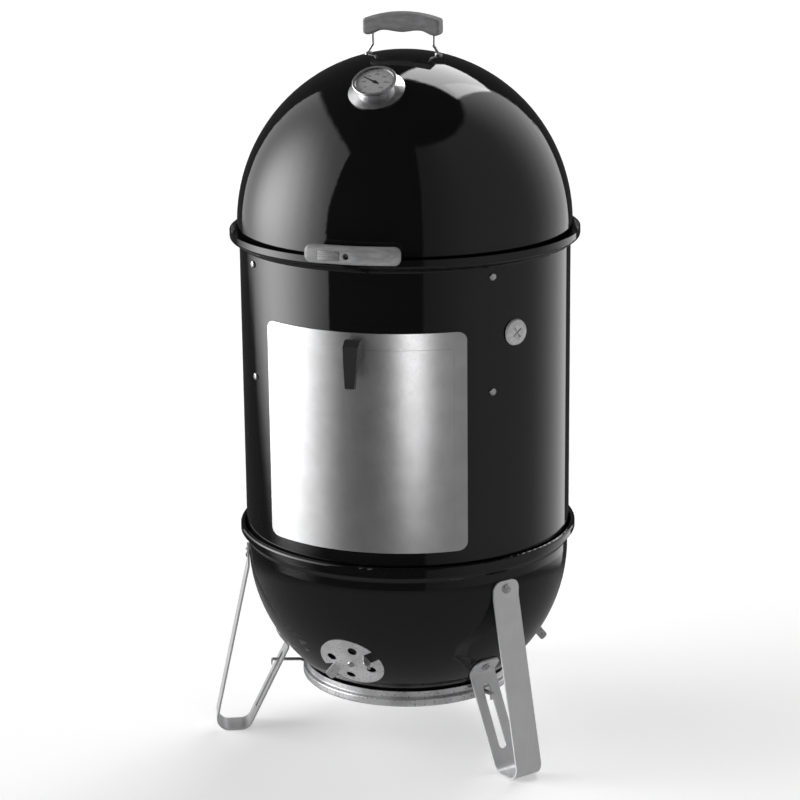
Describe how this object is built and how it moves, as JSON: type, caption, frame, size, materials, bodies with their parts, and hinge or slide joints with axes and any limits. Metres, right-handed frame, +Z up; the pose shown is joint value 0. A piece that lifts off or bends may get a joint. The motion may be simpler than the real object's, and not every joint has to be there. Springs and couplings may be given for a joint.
{
  "type": "vertical water smoker",
  "caption": "Upright charcoal water smoker: domed lid, barrel with a lift-out door, round bowl with vents, splayed legs, and inside it grates, water pan and charcoal ring.",
  "frame": {"origin": "on the floor, under the upright axis of the barrel", "axes": "+Z up along the barrel's axis, the door and the front handle face -Y, +X is on the right as seen from the front"},
  "size_m": [0.6155, 0.6608, 1.232],
  "materials": {
    "enamel": "gloss black porcelain enamel on steel",
    "leg_aluminium": "satin rolled flat bar",
    "shield_aluminium": "satin spun sheet",
    "damper_aluminium": "fine brushed sheet",
    "door_aluminium": "satin sheet with a pebbled grain",
    "zinc_steel": "bright zinc plate",
    "plated_wire": "nickel-plated wire",
    "raw_steel": "bare mill steel",
    "grey_nylon": "glass-filled grey nylon",
    "badge": "satin blank plate",
    "black_nylon": "black nylon",
    "chrome": "polished",
    "gauge_steel": "brushed gauge case",
    "dial_face": "satin pale dial",
    "needle": "satin black",
    "glass": "clear flat glass",
    "silicone": "light grey silicone"
  },
  "bodies": {
    "bowl": {"bowl_shell": "enamel", "leg_left": "leg_aluminium", "leg_right": "leg_aluminium", "leg_rear": "leg_aluminium", "leg_screws": "zinc_steel", "leg_nuts": "zinc_steel", "heat_shield": "shield_aluminium", "charcoal_grate_tabs": "zinc_steel", "bowl_damper_rivets": "zinc_steel"},
    "bowl_damper_front": {"bowl_damper_front": "damper_aluminium"},
    "bowl_damper_right": {"bowl_damper_right": "damper_aluminium"},
    "bowl_damper_left": {"bowl_damper_left": "damper_aluminium"},
    "charcoal_grate": {"charcoal_grate": "raw_steel"},
    "charcoal_ring": {"charcoal_ring": "raw_steel"},
    "centre_section": {"barrel": "enamel", "grill_straps": "zinc_steel", "strap_bolts": "zinc_steel", "strap_nuts": "zinc_steel", "probe_grommet": "silicone", "front_handle_grip": "grey_nylon", "front_handle_plate": "badge", "front_handle_bracket": "enamel", "front_handle_screw": "zinc_steel"},
    "door": {"door_panel": "door_aluminium", "door_tongues": "door_aluminium"},
    "door_latch": {"latch_grip": "black_nylon", "latch_spindle": "zinc_steel", "latch_tongue": "zinc_steel", "latch_nut": "zinc_steel"},
    "water_pan": {"water_pan": "enamel"},
    "lower_cooking_grate": {"lower_cooking_grate": "plated_wire"},
    "upper_cooking_grate": {"upper_cooking_grate": "plated_wire"},
    "lid": {"lid_shell": "enamel", "lid_handle_grip": "grey_nylon", "lid_handle_struts": "zinc_steel", "lid_handle_screws": "zinc_steel", "lid_damper_rivet": "zinc_steel", "thermometer_bezel": "chrome", "thermometer_case": "gauge_steel", "thermometer_collar": "black_nylon", "thermometer_stem": "zinc_steel", "thermometer_dial": "dial_face", "thermometer_lens": "glass", "thermometer_nut": "zinc_steel"},
    "lid_damper": {"lid_damper": "damper_aluminium"},
    "thermometer_pointer": {"thermometer_pointer": "needle"}
  },
  "joints": [
    {"name": "charcoal_grate_lift", "type": "slide", "parent": "bowl", "child": "charcoal_grate", "axis": [0, 0, 1], "range_m": [0, 0.25]},
    {"name": "charcoal_ring_lift", "type": "slide", "parent": "charcoal_grate", "child": "charcoal_ring", "axis": [0, 0, 1], "range_m": [0, 0.25]},
    {"name": "centre_section_lift", "type": "slide", "parent": "charcoal_ring", "child": "centre_section", "axis": [0, 0, 1], "range_m": [0, 0.3]},
    {"name": "water_pan_lift", "type": "slide", "parent": "centre_section", "child": "water_pan", "axis": [0, 0, 1], "range_m": [0, 0.42]},
    {"name": "lower_grate_lift", "type": "slide", "parent": "water_pan", "child": "lower_cooking_grate", "axis": [0, 0, 1], "range_m": [0, 0.25]},
    {"name": "upper_grate_lift", "type": "slide", "parent": "lower_cooking_grate", "child": "upper_cooking_grate", "axis": [0, 0, 1], "range_m": [0, 0.15]},
    {"name": "lid_lift", "type": "slide", "parent": "upper_cooking_grate", "child": "lid", "axis": [0, 0, 1], "range_m": [0, 0.3]},
    {"name": "door_tilt", "type": "hinge", "parent": "centre_section", "child": "door", "pos_m": [0, -0.2779, 0.395], "axis": [1, 0, 0], "range_deg": [0, 60]},
    {"name": "latch_turn", "type": "hinge", "parent": "door", "child": "door_latch", "pos_m": [0, -0.278, 0.737], "axis": [0, -1, 0], "range_deg": [0, 90]},
    {"name": "bowl_damper_front_turn", "type": "hinge", "parent": "bowl", "child": "bowl_damper_front", "pos_m": [-0.03202, -0.22782, 0.18117], "axis": [-0.1169, -0.8314, -0.5432], "range_deg": [0, 45]},
    {"name": "bowl_damper_right_turn", "type": "hinge", "parent": "bowl", "child": "bowl_damper_right", "pos_m": [0.2133, 0.08618, 0.18117], "axis": [0.7785, 0.3145, -0.5432], "range_deg": [0, 45]},
    {"name": "bowl_damper_left_turn", "type": "hinge", "parent": "bowl", "child": "bowl_damper_left", "pos_m": [-0.18129, 0.14164, 0.18117], "axis": [-0.6616, 0.5169, -0.5432], "range_deg": [0, 45]},
    {"name": "lid_damper_turn", "type": "hinge", "parent": "lid", "child": "lid_damper", "pos_m": [0, 0.15, 1.12541], "axis": [0, 0.5448, 0.8386], "range_deg": [0, 45]},
    {"name": "thermometer_needle_turn", "type": "hinge", "parent": "lid", "child": "thermometer_pointer", "pos_m": [0, -0.15, 1.12541], "axis": [0, -0.5448, 0.8386], "range_deg": [-196, 74]}
  ]
}
